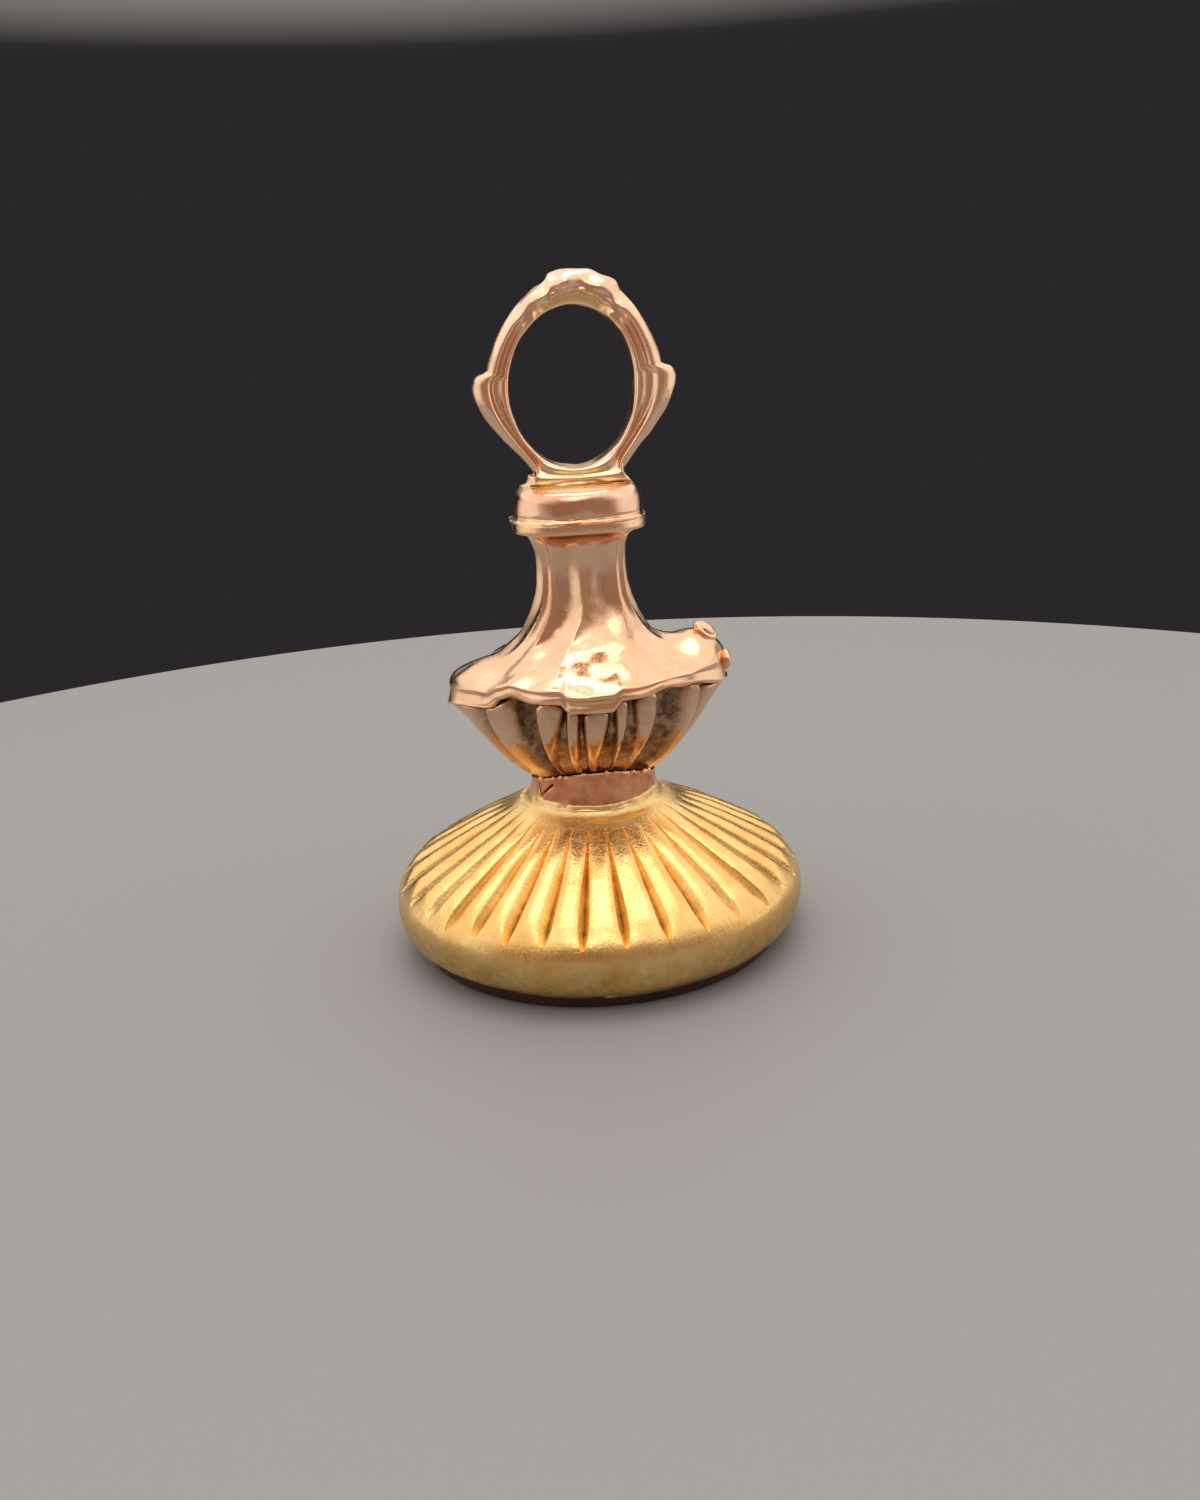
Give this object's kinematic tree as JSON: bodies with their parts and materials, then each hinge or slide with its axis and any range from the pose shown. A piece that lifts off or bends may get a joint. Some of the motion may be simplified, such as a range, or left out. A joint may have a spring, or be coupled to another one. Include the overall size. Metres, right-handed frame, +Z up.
{
  "type": "fob seal",
  "caption": "Gold fob seal standing on its polished stone: fluted oval mount, collar, petal-cut knop on a waisted stem, cushion bead and an upright oval loop.",
  "frame": {"origin": "middle of the stone's flat face, on the surface that the seal stands on", "axes": "+Z up through the stem to the loop, +X to the right along the seal's long side, the front faces -Y"},
  "size_m": [0.0228, 0.0214, 0.0353],
  "materials": {
    "stone": "opaque dark red-brown hardstone, polished",
    "mount_gold": "satin yellow gold, finely pitted, with bright cut grooves",
    "collar_gold": "mirror polished copper-coloured gold",
    "stem_gold": "polished rose gold, finely scratched",
    "bead_gold": "polished rose gold",
    "loop_gold": "worn polished gold"
  },
  "bodies": {
    "root": {"seal_stone": "stone", "fluted_mount": "mount_gold", "collar": "collar_gold", "stem": "stem_gold", "cap_bead": "bead_gold", "suspension_loop": "loop_gold"}
  },
  "joints": []
}
